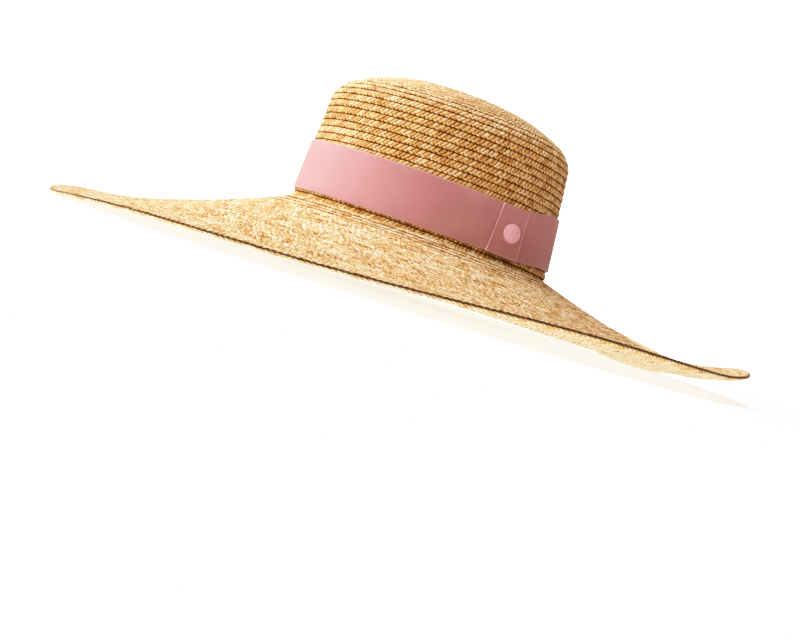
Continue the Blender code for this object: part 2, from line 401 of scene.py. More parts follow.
def mesh_piece(name, points, quads, material, uv=None, uv_name="braid"):
    mesh = bpy.data.meshes.new(name)
    mesh.vertices.add(len(points))
    mesh.vertices.foreach_set("co", np.ascontiguousarray(points, np.float32).ravel())
    mesh.loops.add(quads.size)
    mesh.loops.foreach_set("vertex_index", quads.astype(np.int32).ravel())
    mesh.polygons.add(len(quads))
    mesh.polygons.foreach_set("loop_start", np.arange(0, quads.size, 4, dtype=np.int32))
    mesh.update(calc_edges=True)
    mesh.polygons.foreach_set("use_smooth", np.ones(len(quads), bool))
    if uv is not None:
        layer = mesh.uv_layers.new(name=uv_name)
        layer.uv.foreach_set("vector", np.ascontiguousarray(uv[quads.ravel()], np.float32).ravel())
    mesh.materials.append(material)
    mesh.validate()
    piece = bpy.data.objects.new(name, mesh)
    scene.collection.objects.link(piece)
    print(name, "triangles:", 2 * len(quads))
    return piece


def grid_piece(name, points, material, uv=None, uv_name="braid", flip=False, **closing):
    quads = grid_quads(*points.shape[:2], **closing)
    uv = None if uv is None else uv.reshape(-1, 2)
    return mesh_piece(name, points.reshape(-1, 3), quads[:, ::-1] if flip else quads, material, uv, uv_name)


def hat_piece(piece, slot, *nodes):
    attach(piece, "root")
    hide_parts(*nodes)


# %% [markdown]
# The table is a wide pale floor. The photograph's underside of the brim is bright, because
# white surroundings light it from below. A faint glow in the floor does the same here, as a light
# table would, and the soft shadow under the brim still shows. The glow grows further out, where the
# lamps no longer reach, so that the table runs into the white sweep without a line.

# %% Floor
FLOOR_SIZE = 30.0
FLOOR_STEPS = 9
FLOOR_WHITES = (0.86, 0.86, 0.86, 1), (0.9, 0.9, 0.9, 1)
FLOOR_GRAIN = 3.0
FLOOR_ROUGHNESS = 0.9
GLOW_WHITE = (1, 0.99, 0.97, 1)
GLOW_DISTANCES = (0.6, 2.0)
FLOOR_GLOWS = (0.7, 2.2)


def pale_floor():
    material, tree, skin = new_material("pale_floor")
    grain = add(tree, "ShaderNodeTexNoise")
    feed(tree, grain, "Scale", FLOOR_GRAIN)
    distance = add(tree, "ShaderNodeVectorMath", operation="LENGTH")
    feed(tree, distance, 0, object_place(tree))
    glow = map_range(tree, distance.outputs["Value"], *GLOW_DISTANCES, *FLOOR_GLOWS)
    feed_all(
        tree, skin, Base_Color=mix_colours(tree, grain.outputs["Fac"], *FLOOR_WHITES),
        Roughness=FLOOR_ROUGHNESS, Emission_Color=GLOW_WHITE, Emission_Strength=glow,
    )
    side = np.linspace(-FLOOR_SIZE / 2, FLOOR_SIZE / 2, FLOOR_STEPS)
    x, y = np.meshgrid(side, side, indexing="ij")
    return grid_piece("floor", np.stack([x, y, np.zeros_like(x)], axis=-1), material)


floor = pale_floor()
print("floor, m:", FLOOR_SIZE)

# %% [markdown]
# ## The straw's colour
# Straw braid is plaited from flat splints of wheat straw. Each splint shows as a short slanted
# stroke, and no two strokes have the same colour: pale cream, honey, tan, now and then a brown one.
# Neighbours often match, since one straw is used along several strokes. We give the braid a UV layer
# that counts strokes along it and goes from 0 at a row's outer edge to 1 at its inner edge. Rounding
# the count down names the stroke, and noise on that number gives each stroke its tone. A
# texture image could not follow a spiral 14 metres long.
# Each effect is a node group that every straw material uses with its own values. Two more helpers
# make a group and place it, and three draw noise on a number or at a place.

# %% Group helpers
NOISE_SPAN = (0.3, 0.7)  # noise seldom leaves this range
PLACE_ON_BRAID = {"Stroke": 0.0, "Off middle": 0.0, "Off row": 0.0}


def new_group(name, inputs, outputs):
    """A group that puts out numbers. An input without a default takes a vector."""
    group = bpy.data.node_groups.new(name, "ShaderNodeTree")
    for label, value in inputs.items():
        kind = "NodeSocketVector" if value is None else "NodeSocketFloat"
        socket = group.interface.new_socket(name=label, in_out="INPUT", socket_type=kind)
        if value is not None:
            socket.default_value = value
    for label in outputs:
        group.interface.new_socket(name=label, in_out="OUTPUT", socket_type="NodeSocketFloat")
    return group, group.nodes.new("NodeGroupInput").outputs, group.nodes.new("NodeGroupOutput")


def use_group(tree, group, **values):
    return feed_all(tree, add(tree, "ShaderNodeGroup", node_tree=group), **values).outputs


def random_of(tree, number, shift=0.0):
    """A random value from 0 to 1 for a number. Another shift gives another value."""
    made = add(tree, "ShaderNodeTexWhiteNoise", noise_dimensions="1D")
    return feed_all(tree, made, W=plus(tree, number, shift)).outputs["Value"]


def slow_noise(tree, number, size):
    made = add(tree, "ShaderNodeTexNoise", noise_dimensions="1D")
    place = math_node(tree, "DIVIDE", number, size)
    return feed_all(tree, made, W=place, Scale=1.0, Detail=1.0).outputs["Fac"]


def noise_at(tree, place, **values):
    return feed_all(tree, add(tree, "ShaderNodeTexNoise"), Vector=place, **values).outputs["Fac"]


print("group helpers ready")

# %% [markdown]
# From close by, a row is a herringbone. Long strokes lean one way, and along the row's outer edge
# short ones lean back between them. The first group reads the braid's coordinates and
# says which stroke a point lies on, how far it is from the stroke's middle and how far from the row's
# middle. Split is the share of the row that the short strokes take.

# %% Braid strokes
LEAN_BACK = 2.0
SHORT_STROKE = 0.37  # added to a short stroke's number, to tell it from the long one's


def braid_strokes():
    group, given, out = new_group(
        "Braid strokes", {"Braid": None, "Split": 0.3}, ("Stroke", "Off middle", "Off row"),
    )
    along, across = parts_of(group, given["Braid"])[:2]
    past_split = math_node(group, "SUBTRACT", across, given["Split"])
    short = math_node(group, "LESS_THAN", past_split, 0.0)
    back = plus(group, times(group, past_split, LEAN_BACK), 0.5)
    place = plus(group, along, times(group, back, short))
    number = math_node(group, "FLOOR", place)

    def off_centre(value):
        twice = times(group, math_node(group, "SUBTRACT", value, 0.5), 2.0)
        return math_node(group, "ABSOLUTE", twice)

    feed(group, out, "Stroke", plus(group, number, times(group, short, SHORT_STROKE)))
    feed(group, out, "Off middle", off_centre(math_node(group, "SUBTRACT", place, number)))
    feed(group, out, "Off row", off_centre(across))
    return group


BRAID_STROKES = braid_strokes()
print("group:", BRAID_STROKES.name)

# %% [markdown]
# The second group gives each stroke its tone, from 0 for brown to 1 for the palest cream. A slow noise
# makes neighbours alike, a random share belongs to each stroke alone, fine streaks run along the
# straw, and painted shade makes its round back lighter in the middle than at its sides. Clouds, from
# some centimetres wide down to flecks of a millimetre, lie over all rows alike, where the straw took up
# more sun or damp.

# %% Splint tones
STREAKS_ACROSS, STREAKS_APART, STREAK_SCALE = 2.5, 3.7, 1.7
CLOUD_DETAIL, CLOUD_ROUGHNESS = 4.0, 0.75


def splint_tones():
    group, given, out = new_group("Splint tones", {
        **PLACE_ON_BRAID, "Patch strokes": 4.0, "Patch share": 0.25, "Odd share": 0.45,
        "Streak share": 0.5, "Round share": 0.6, "Cloud share": 0.6, "Cloud scale": 150.0,
    }, ("Tone",))
    stroke, off_middle = given["Stroke"], given["Off middle"]
    place = feed_all(
        group, add(group, "ShaderNodeCombineXYZ"), X=times(group, off_middle, STREAKS_ACROSS),
        Y=given["Off row"], Z=times(group, stroke, STREAKS_APART),
    ).outputs[0]
    streaks = noise_at(group, place, Scale=STREAK_SCALE)
    cloud_scale = given["Cloud scale"]
    clouds = noise_at(
        group, object_place(group), Scale=cloud_scale, Detail=CLOUD_DETAIL, Roughness=CLOUD_ROUGHNESS,
    )
    tone = 0.5
    for value, span, share in (
        (slow_noise(group, stroke, given["Patch strokes"]), NOISE_SPAN, "Patch share"),
        (random_of(group, stroke), (0.0, 1.0), "Odd share"),
        (streaks, NOISE_SPAN, "Streak share"),
        (clouds, NOISE_SPAN, "Cloud share"),
        # painted shade of a splint's round back: lighter in its middle, darker at its sides
        (math_node(group, "POWER", off_middle, 2.0), (1.0, 0.0), "Round share"),
    ):
        swing = map_range(group, value, *span, -0.5, 0.5)
        tone = plus(group, times(group, swing, given[share]), tone)
    feed(group, out, "Tone", math_node(group, "ADD", tone, 0.0, clamp=True))
    return group


SPLINT_TONES = splint_tones()
print("group:", SPLINT_TONES.name)

# %% [markdown]
# The third group finds where shade is painted: the gap between one row and the next, and the creases
# where a splint dives under its neighbour. Its Dark output is that painted shade. Each stroke is a
# grain with round corners, so where a crease meets a gap the two run together and the gap looks
# toothed. No crease is as deep as the next one, and the gap opens and closes slowly along the row.

# %% Braid gaps
GAP_STROKES, GAP_OPENING = 3.0, (0.6, 1.4)
CREASE_WIDTHS, CREASE_DEPTHS = (0.3, 1.5), (0.15, 1.0)
GAP_SHARPNESS, CREASE_SHARPNESS = 6.0, 3.0
CORNER_SHARE = 0.3
DARK_SPAN = (0.7, 1.1)


def braid_gaps():
    group, given, out = new_group("Braid gaps", {
        **PLACE_ON_BRAID, "Row gap": 0.14, "Row depth": 1.0, "Crease": 0.18, "Crease depth": 0.8,
    }, ("Dark",))
    stroke = given["Stroke"]
    opening = map_range(group, slow_noise(group, stroke, GAP_STROKES), *NOISE_SPAN, *GAP_OPENING)
    width = map_range(group, random_of(group, stroke, 0.5), 0.0, 1.0, *CREASE_WIDTHS)
    seldom_deep = math_node(group, "POWER", random_of(group, stroke, 0.7), 2.0)
    depth = map_range(group, seldom_deep, 0.0, 1.0, *CREASE_DEPTHS)

    def edge(label, size, change, sharpness):
        inside = math_node(group, "SUBTRACT", 1.0, times(group, given[size], change))
        share = math_node(group, "DIVIDE", given[label], inside)
        return math_node(group, "POWER", share, sharpness)

    def dark(main, other, depth):
        corner = plus(group, main, times(group, other, CORNER_SHARE))
        return times(group, map_range(group, corner, *DARK_SPAN, smooth=True), depth)

    # Painted shade: the gaps between rows and the creases are darkened.
    row = edge("Off row", "Row gap", opening, GAP_SHARPNESS)
    crease = edge("Off middle", "Crease", width, CREASE_SHARPNESS)
    gap_dark = dark(row, crease, given["Row depth"])
    crease_dark = dark(crease, row, times(group, depth, given["Crease depth"]))
    feed(group, out, "Dark", math_node(group, "MAXIMUM", gap_dark, crease_dark, clamp=True))
    return group


BRAID_GAPS = braid_gaps()
print("group:", BRAID_GAPS.name)

# %% [markdown]
# A straw material puts the groups together. A colour ramp turns the tone into straw colours. In the gaps
# and creases the colour carries painted shade: light that leaves a crease has bounced between straws
# several times and was coloured each time, so there the colour is raised to a power, which makes it a
# deep warm brown and not grey, and then dimmed. The gloss and the sheen take the straw's tint for the
# same reason: white ones would fill the creases with grey. On the crown the honey colour is painted
# paler towards the top, as painted light for the strong overhead light on the dome, where the braid is
# seen at a slant, and its painted creases and row lines fade with it. A second UV layer, which we write
# near the end, says which straw lies in painted shade.

# %% Straw
HONEY_SHADES = (
    # place on the ramp, colour
    (0.0, (0.25, 0.072, 0.0065)),
    (0.25, (0.41, 0.156, 0.0245)),
    (0.5, (0.55, 0.264, 0.064)),
    (0.78, (0.68, 0.4, 0.142)),
    (1.0, (0.84, 0.62, 0.35)),
)
# Used on the brim, the rim row and the crown's top. These are the straw's own colours made paler, as
# painted light for the overhead light that falls on the brim and the dome.
CREAM_SHADES = (
    (0.0, (0.41, 0.17, 0.032)),
    (0.25, (0.62, 0.336, 0.106)),
    (0.5, (0.77, 0.488, 0.213)),
    (0.78, (0.86, 0.635, 0.366)),
    (1.0, (0.94, 0.825, 0.63)),
)
# Used under the brim and inside the crown, paler still: painted light for the light that reaches the
# underside from below and through the thin straw.
UNDER_SHADES = (
    (0.0, (0.48, 0.24, 0.08)),
    (0.2, (0.78, 0.55, 0.30)),
    (0.5, (0.88, 0.70, 0.45)),
    (1.0, (0.97, 0.87, 0.67)),
)
STRAW_ROUGHNESS, GAP_ROUGHNESS = 0.5, 1.0
STRAW_GLOSS_TINT = (1, 0.68, 0.36, 1)
STRAW_SHEEN, STRAW_SHEEN_ROUGHNESS = 0.04, 0.35
STRAW_SHEEN_TINT = (1, 0.75, 0.4, 1)
# Painted shade in the gaps and creases: the colour is raised to this power and dimmed to this share.
GAP_POWER = 2.4
GAP_LIGHT = 0.48
SHADE_BROWN = (0.09, 0.026, 0.001, 1)
SHADE_SHARE = 0.97
# The crown's top is painted paler, as painted light for the overhead light on the dome: between these
# heights, and by at most this share. The creases' and row lines' painted shade goes over the second span.
FADE_HEIGHTS = (118 * MM, 146 * MM)
LINE_FADE_HEIGHTS = (136 * MM, 152 * MM)
PALER_TOP_SHARE = 0.65
# How much painted shade the creases and row lines keep below the painted paler top, and above it.
CREASE_FADE, LINE_FADE = (0.8, 0.1), (1.0, 0.2)  # depth below the fade, above it


def straw(name, shades_given, split, tones, gaps, gloss, paler_top_shades=None, shaded=False):
    material, tree, skin = new_material(name)
    found = use_group(tree, BRAID_STROKES, Braid=uv_layer(tree, "braid"), Split=split)
    where = {label.replace(" ", "_"): found[label] for label in PLACE_ON_BRAID}
    tone = use_group(tree, SPLINT_TONES, **where, **tones)["Tone"]
    shade = shade_ramp(tree, tone, shades_given)
    # Painted light: the crown's colour is painted paler towards its top.
    if paler_top_shades:
        height = parts_of(tree, object_place(tree))["Z"]
        fade = map_range(tree, height, *FADE_HEIGHTS, 0.0, PALER_TOP_SHARE, smooth=True)
        shade = mix_colours(tree, fade, shade, shade_ramp(tree, tone, paler_top_shades))
        creases = map_range(tree, height, *FADE_HEIGHTS, *CREASE_FADE, smooth=True)
        lines = map_range(tree, height, *LINE_FADE_HEIGHTS, *LINE_FADE, smooth=True)
        gaps = {"Crease_depth": creases, "Row_depth": lines, **gaps}
    # Dark is the painted shade of the gaps and creases.
    dark = use_group(tree, BRAID_GAPS, **where, **gaps)["Dark"]
    deepened = power_of_colour(tree, shade, map_range(tree, dark, to_low=1.0, to_high=GAP_POWER))
    dimmed = add(tree, "ShaderNodeVectorMath", operation="SCALE")
    feed(tree, dimmed, 0, deepened)
    feed(tree, dimmed, "Scale", map_range(tree, dark, to_low=1.0, to_high=GAP_LIGHT))
    shown = dimmed.outputs["Vector"]
    if shaded:
        cover = parts_of(tree, uv_layer(tree, "shade"))["X"]
        shown = mix_colours(tree, map_range(tree, cover, to_high=SHADE_SHARE), shown, SHADE_BROWN)
        dark = math_node(tree, "MAXIMUM", dark, cover)
    roughness = map_range(tree, dark, to_low=STRAW_ROUGHNESS, to_high=GAP_ROUGHNESS)
    feed_all(
        tree, skin, Base_Color=shown, Roughness=roughness, Specular_IOR_Level=gloss,
        Specular_Tint=STRAW_GLOSS_TINT, Sheen_Weight=STRAW_SHEEN,
        Sheen_Roughness=STRAW_SHEEN_ROUGHNESS, Sheen_Tint=STRAW_SHEEN_TINT,
    )
    return material


print("shades:", len(HONEY_SHADES), len(CREAM_SHADES), len(UNDER_SHADES))

# %% [markdown]
# The hat needs six straws. The crown's is bold, with the groups' own values. The turn at its foot and
# the first rows of the brim have wide dark gaps. The ironed brim and its underside have hardly any
# gaps, but more clouds. The row under the rim has no short strokes.

# %% Six straws
CROWN_SPLIT, BRIM_SPLIT, RIM_SPLIT = 0.3, 0.5, 0.0
FLAT_TONES = {
    "Patch_share": 0.45, "Patch_strokes": 6.0, "Odd_share": 0.55, "Streak_share": 0.8,
    "Round_share": 0.2, "Cloud_share": 1.25, "Cloud_scale": 400.0,
}
UNDER_TONES = {
    "Patch_share": 0.3, "Odd_share": 0.7, "Streak_share": 0.8,
    "Cloud_share": 1.2, "Cloud_scale": 400.0,
}
TURN_GAPS = {"Row_gap": 0.3, "Row_depth": 0.8, "Crease": 0.15, "Crease_depth": 0.4}
FOOT_GAPS = {"Row_gap": 0.3, "Row_depth": 0.9, "Crease": 0.15, "Crease_depth": 0.6}
BRIM_GAPS = {"Row_depth": 0.35, "Crease": 0.2, "Crease_depth": 1.0}
UNDER_GAPS = {"Row_depth": 0.35, "Crease_depth": 0.7}
RIM_GAPS = {"Row_gap": 0.12, "Crease": 0.2, "Crease_depth": 0.6}

crown_straw = straw(
    "crown_straw", HONEY_SHADES, CROWN_SPLIT, {}, {}, gloss=0.4, paler_top_shades=CREAM_SHADES, shaded=True,
)
turn_straw = straw("turn_straw", HONEY_SHADES, CROWN_SPLIT, {}, TURN_GAPS, gloss=0.02, shaded=True)
foot_straw = straw("foot_straw", CREAM_SHADES, CROWN_SPLIT, FLAT_TONES, FOOT_GAPS, gloss=0.05)
brim_straw = straw(
    "brim_straw", CREAM_SHADES, BRIM_SPLIT, FLAT_TONES, BRIM_GAPS, gloss=0.06, shaded=True,
)
under_straw = straw(
    "under_straw", UNDER_SHADES, BRIM_SPLIT, UNDER_TONES, UNDER_GAPS, gloss=0.1, shaded=True,
)
rim_straw = straw("rim_straw", CREAM_SHADES, RIM_SPLIT, {}, RIM_GAPS, gloss=0.02)
print("straws:", [m.name for m in bpy.data.materials if "straw" in m.name])

# %% [markdown]
# ## The braid itself
# A straw hat is one braid, sewn round and round from the middle of the top to the rim. So we model
# it the way it is made: a spiral with rows 5.2 mm apart. Each row is a strip of slanted splints. A
# grid follows the strip, its columns leaning the way the splints lean, so that every crease falls
# on a line of points and needs few faces. The section across the row and the round back of each
# splint are pushed in from the hat's surface along its normal. No splint lies quite like the next:
# each is a little wider or narrower, thicker or thinner, and tipped one way or the other, and so
# some catch the light.

# %% Plait relief
SMALLEST_FACE = (0.05 * MM) ** 2
SHORTEST_TURN = 30 * MM
LINE_STEPS = 360
ROW_PITCH = 5.21 * MM
STROKE = 3.35 * MM
STROKE_LEAN = 0.7
UNEVEN = 0.35
ROW_WAVER = 0.03
WANDER_CYCLES, WANDER_BEND, WANDER_TURNS = (5, 11, 23, 47), (0.6, 1.4), 3
TIP = 0.3 * MM
THINNEST = 0.78
BACK_ROUNDNESS = 2.5
FINE_SECTION = np.array([
    # across the row from its outer edge, rise, how far creases cut in
    (-0.02, 0.00, 0.0), (0.05, 0.60, 0.5), (0.15, 0.92, 0.45), (0.31, 1.00, 0.45),
    (0.55, 0.98, 0.45), (0.76, 0.80, 0.45), (0.92, 0.30, 0.5), (1.02, 0.00, 0.0),
])
FLAT_SECTION = np.array([
    (-0.02, 0.30, 0.0), (0.13, 0.94, 0.25), (0.50, 1.00, 0.2), (0.85, 0.78, 0.25), (1.02, 0.30, 0.0),
])
PLAIN_SECTION = np.array([(-0.02, 0.30, 0.0), (0.15, 0.94, 0.5), (0.80, 0.85, 0.5), (1.02, 0.30, 0.0)])


def line_length(line):
    return np.concatenate([[0], np.cumsum(np.linalg.norm(np.diff(line, axis=0), axis=1))])


def wander(turns, size, seed):
    """A slow, smooth random offset along the braid, so that rows are not ruled lines."""
    waves = np.random.default_rng(seed)
    total = np.zeros_like(turns)
    for cycles in WANDER_CYCLES:
        bend, start = waves.uniform(*WANDER_BEND), waves.uniform(0, 2 * math.pi)
        phase = turns * 2 * math.pi * cycles * bend / WANDER_TURNS + start
        total = total + np.sin(phase) / math.sqrt(cycles)
    return size * total


def braid_strip(
    surface, reach_at, turns, section, columns, top, floor_depth, split, up=1, seed=1, taper=None,
):
    """Points and braid coordinates of a strip that runs round a surface from one turn to another.

    taper gives how much of its depth the strip keeps at each reach, so that a rim can close.
    """
    fine = np.linspace(*turns, int((turns[1] - turns[0]) * LINE_STEPS) + 2)
    length = line_length(surface(2 * math.pi * fine, reach_at(fine - 0.5)))
    count = int(length[-1] / STROKE)
    place = np.arange(count * columns + 1) / columns
    chance = np.random.default_rng(seed)
    creases = np.concatenate([[0], np.cumsum(chance.uniform(1 - UNEVEN, 1 + UNEVEN, count))])
    along = np.interp(place, np.arange(count + 1), creases / creases[-1]) * length[-1]
    line_turn = np.interp(along, length, fine)
    turn_length = np.interp(line_turn, fine, np.gradient(length, fine))
    across, rise, crease = section.T
    lean = STROKE_LEAN * (across - 0.5) * ROW_PITCH
    turn = line_turn[:, None] + lean / np.maximum(turn_length, SHORTEST_TURN)[:, None]
    outer_waver, inner_waver = wander(turn, ROW_WAVER, seed), wander(turn - 1, ROW_WAVER, seed)
    row = turn - across + (1 - across) * outer_waver + across * inner_waver
    angle, reach = 2 * math.pi * turn, reach_at(row)
    at = place[:, None] + np.where(across < split, LEAN_BACK * (across - split) + 0.5, 0)
    stroke = np.floor(at)
    off_middle = np.abs(2 * (at - stroke) - 1)
    splints = chance.uniform((THINNEST, -TIP), (1.0, TIP), (count + 3, 2))
    bold, tipped = splints[stroke.astype(int)].transpose(2, 0, 1)
    back = 1 - crease * off_middle ** BACK_ROUNDNESS
    depth = floor_depth + (top - floor_depth) * rise * bold * back
    depth = depth + tipped * rise * (at - stroke - 0.5) * up * np.sign(top - floor_depth)
    if taper:
        depth = depth * taper(reach)
    points = surface(angle, reach) + depth[..., None] * outward(surface, angle, reach, up)
    uv = np.stack(np.broadcast_arrays(place[:, None], across), axis=-1)
    print("  braid, m:", round(length[-1], 1), "strokes:", count)
    return points, uv, line_turn


def cut_strip(strip, *cut_turns):
    """Cuts a strip into lengths. Neighbours share the line of points at the cut, so no slit shows."""
    points, uv, turns = strip
    cuts = [0, *np.searchsorted(turns, cut_turns), len(points) - 1]
    return [(points[start:end + 1], uv[start:end + 1]) for start, end in zip(cuts, cuts[1:])]


def strip_piece(name, strip, material, flip=False):
    """The strip as a mesh. It stays above the table, and faces that shrink to nothing are dropped."""
    points, uv = (part.reshape(-1, part.shape[-1]) for part in strip[:2])
    points = points.copy()
    points[:, 2] = np.maximum(points[:, 2], 0)
    quads = grid_quads(*strip[0].shape[:2])
    a, b, c, d = (points[quads[:, corner]] for corner in range(4))
    area = np.linalg.norm(np.cross(c - a, d - b), axis=1)
    quads = quads[area > SMALLEST_FACE]
    used, quads = np.unique(quads, return_inverse=True)
    quads = quads.reshape(-1, 4)
    return mesh_piece(name, points[used], quads[:, ::-1] if flip else quads, material, uv[used])


print("row pitch, mm:", ROW_PITCH / MM)

# %% [markdown]
# The crown's spiral starts in the middle of the top, as a hatter starts, and ends at the foot. One
# row line in the photograph fixes where every other one falls: at the wearer's left it passes
# 44.9 mm above the foot, and the last one shows 3.5 mm above it. The crown is cut half way along
# the braid to keep each mesh light. Its last turn, where the braid bends out into the brim, is a
# piece of its own, because its gaps are wider and it has no gloss.

# %% Crown braid
LINE_REACH, LAST_LINE_REACH = np.interp((44.9 * MM, 3.5 * MM), PROFILE_HEIGHT, PROFILE_LENGTH)
LOW_ROWS = 8
LOW_PITCH = (LINE_REACH - LAST_LINE_REACH) / LOW_ROWS
LEFT_TURN = 0.25
LINE_ROW = math.ceil((CROWN_REACH - LINE_REACH) / ROW_PITCH) + LEFT_TURN
CROWN_COLUMNS, INSIDE_COLUMNS = 5, 3
CROWN_TOP, CROWN_FLOOR = 0.2 * MM, -1.2 * MM
CROWN_END = -1.2 * MM
CROWN_CUTS = (19, LINE_ROW + LOW_ROWS + 0.5)
CROWN_TURNS = (LINE_ROW - (CROWN_REACH - LINE_REACH) / ROW_PITCH, LINE_ROW + LINE_REACH / LOW_PITCH + 1)


def crown_reach_at(row):
    below = row - LINE_ROW
    reach = LINE_REACH - below * np.where(below > 0, LOW_PITCH, ROW_PITCH)
    return np.clip(reach, CROWN_END, CROWN_REACH)


outside = braid_strip(
    crown_surface, crown_reach_at, CROWN_TURNS, FINE_SECTION, CROWN_COLUMNS,
    CROWN_TOP, CROWN_FLOOR, CROWN_SPLIT,
)
tip, wall, last_turn = cut_strip(outside, *CROWN_CUTS)
hat_piece(strip_piece("crown_tip_braid", tip, crown_straw), "straw", "crown")
hat_piece(strip_piece("crown_wall_braid", wall, crown_straw), "straw", "crown")
hat_piece(strip_piece("crown_foot_braid", last_turn, turn_straw), "straw", "crown")

# %% [markdown]
# Inside, the same braid shows its back. It is pressed flatter in wear, so a lighter grid is
# enough. It faces inwards, and the straw's thickness lies between it and the outside.

# %% Inside of the crown
INSIDE_TOP, INSIDE_FLOOR = -STRAW_THICKNESS - 0.1 * MM, -STRAW_THICKNESS + 0.35 * MM

inside = braid_strip(
    crown_surface, crown_reach_at, CROWN_TURNS, PLAIN_SECTION, INSIDE_COLUMNS,
    INSIDE_TOP, INSIDE_FLOOR, BRIM_SPLIT, seed=2,
)
hat_piece(strip_piece("crown_inside_braid", inside, under_straw, flip=True), "straw", "crown")

# %% [markdown]
# The brim carries on with the same braid. It is ironed flatter than the crown, so its rows hardly
# show and what we see is a mottle of splints. Only the first three rows, where the iron can't
# reach into the corner, keep their dark lines. The spiral is 34 metres long, so it is cut into
# lengths. The underside is its own strip, seen at the right of the picture where the brim curls up.

# %% Brim braid
BRIM_ROWS = 30.5
RIM_ROUND, RIM_KEEP = 0.9 * MM, 0.2
BRIM_TOP, BRIM_FLOOR = BRIM_THICKNESS / 2 + 0.15 * MM, BRIM_THICKNESS / 2 - 0.6 * MM
BRIM_CUTS = (3.3, 17.8)
BRIM_COLUMNS, UNDER_COLUMNS = 4, 2
BRIM_LINES = np.array([
    # row, reach. The first row bends out of the crown, so it is wider.
    (0.2, -1 * MM), (1.25, 7.3 * MM), (BRIM_ROWS, BRIM_REACH),
])


def brim_reach_at(row):
    return np.interp(row, *BRIM_LINES.T)


def rim_taper(reach):
    """1 over the brim, and down to almost nothing in a round edge at the rim."""
    inside = np.clip((BRIM_REACH - reach) / RIM_ROUND, 0, 1)
    return RIM_KEEP + (1 - RIM_KEEP) * np.sqrt(1 - (1 - inside) ** 2)


def brim_strip(section, columns, side, seed):
    turns, top, deep = (0, BRIM_ROWS + 1), side * BRIM_TOP, side * BRIM_FLOOR
    return braid_strip(
        brim_surface, brim_reach_at, turns, section, columns, top, deep, BRIM_SPLIT, -1, seed, rim_taper,
    )


foot, inner, outer = cut_strip(brim_strip(FLAT_SECTION, BRIM_COLUMNS, 1, seed=3), *BRIM_CUTS)
hat_piece(strip_piece("brim_foot_braid", foot, foot_straw, flip=True), "straw", "brim")
hat_piece(strip_piece("brim_inner_braid", inner, brim_straw, flip=True), "straw", "brim")
hat_piece(strip_piece("brim_outer_braid", outer, brim_straw, flip=True), "straw", "brim")
under = brim_strip(PLAIN_SECTION, UNDER_COLUMNS, -1, seed=4)
hat_piece(strip_piece("brim_underside_braid", under, under_straw), "straw", "brim")

# %% [markdown]
# The rim is finished with one more row, sewn under the brim's edge and standing out a touch. From
# outside it is a thin lit line just below the brim's dark edge. It is a closed tube, so it is swept
# from a flattened ring with the same leaning strokes pressed into it.

# %% Rim row
EDGE_WIDTH = 6 * MM
EDGE_OVERHANG = 0.3 * MM
EDGE_TOP, EDGE_BOTTOM = -0.45 * MM, -2.0 * MM
EDGE_COLUMNS = 4
EDGE_AROUND = 12
EDGE_STEPS = 2000
EDGE_SQUARENESS = (0.6, 0.7)  # across, up: less than 1 makes the round section squarer
EDGE_CREASE, EDGE_SIDE_CREASE = 0.28, 0.06


def rim_row():
    fine = np.linspace(0, 1, EDGE_STEPS)
    length = line_length(brim_surface(2 * math.pi * fine, np.full_like(fine, BRIM_REACH)))
    count = round(length[-1] / STROKE)
    place = np.arange(count * EDGE_COLUMNS + 1) / EDGE_COLUMNS
    turn = np.interp(place / count * length[-1], length, fine)[:, None]
    around = np.arange(EDGE_AROUND) / EDGE_AROUND
    side = math.pi / 4 + 2 * math.pi * around
    ring = np.stack([np.cos(side), np.sin(side)], axis=-1)
    across, lift = (np.sign(ring) * np.abs(ring) ** EDGE_SQUARENESS).T
    dip = np.abs(2 * (place % 1) - 1)[:, None] ** BACK_ROUNDNESS
    reach = BRIM_REACH + EDGE_OVERHANG - EDGE_WIDTH / 2 * (1 - across * (1 - EDGE_SIDE_CREASE * dip))
    turn = turn - STROKE_LEAN * EDGE_WIDTH / 2 * across * lift / length[-1]
    points = brim_surface(2 * math.pi * turn, reach)
    middle, half = (EDGE_TOP + EDGE_BOTTOM) / 2, (EDGE_TOP - EDGE_BOTTOM) / 2
    points[..., 2] += middle + half * lift * (1 - EDGE_CREASE * dip)
    points[..., 2] = np.maximum(points[..., 2], 0)
    uv = np.stack(np.broadcast_arrays(place[:, None], around), axis=-1)
    return grid_piece("rim_row_braid", points, rim_straw, uv, close_columns=True)


hat_piece(rim_row(), "edge_straw", "edge_row")

# %% [markdown]
# ## The strap
# A flat strap of dusty pink leather goes round the foot of the crown, and its end is a tab held by
# a stud. Leather this smooth has almost no grain, but it isn't flat: its tone wanders a little, its
# round cut edges carry a painted highlight, and a soft sheen makes it paler where it bends away
# towards the light. Beside the tab it lies in painted shade: its colour is deepened there as the
# straw's is in a gap. One group gives the wander and the grain, and the strap, the tab and the stud
# use it.

# %% Soft leather
SKIN_DETAIL = 3.0
SKIN_TONES = (0.35, 0.65)
SKIN_ROUGHNESS_SWING = 0.05
SKIN_SHADE_POWER = 1.5
GRAIN_DEPTH = 0.1 * MM
SKIN_SHEEN_ROUGHNESS, SKIN_SHEEN_TINT = 0.4, (1, 0.62, 0.58, 1)
SKIN_GLOSS, SKIN_COAT_ROUGHNESS = 0.35, 0.15


def skin_wander():
    group, given, out = new_group(
        "Skin wander", {"Slow scale": 30.0, "Grain scale": 1800.0}, ("Tone", "Grain"),
    )
    place = object_place(group)
    for scale, label in (("Slow scale", "Tone"), ("Grain scale", "Grain")):
        noise = noise_at(group, place, Scale=given[scale], Detail=SKIN_DETAIL)
        feed(group, out, label, noise)
    return group


SKIN_WANDER = skin_wander()


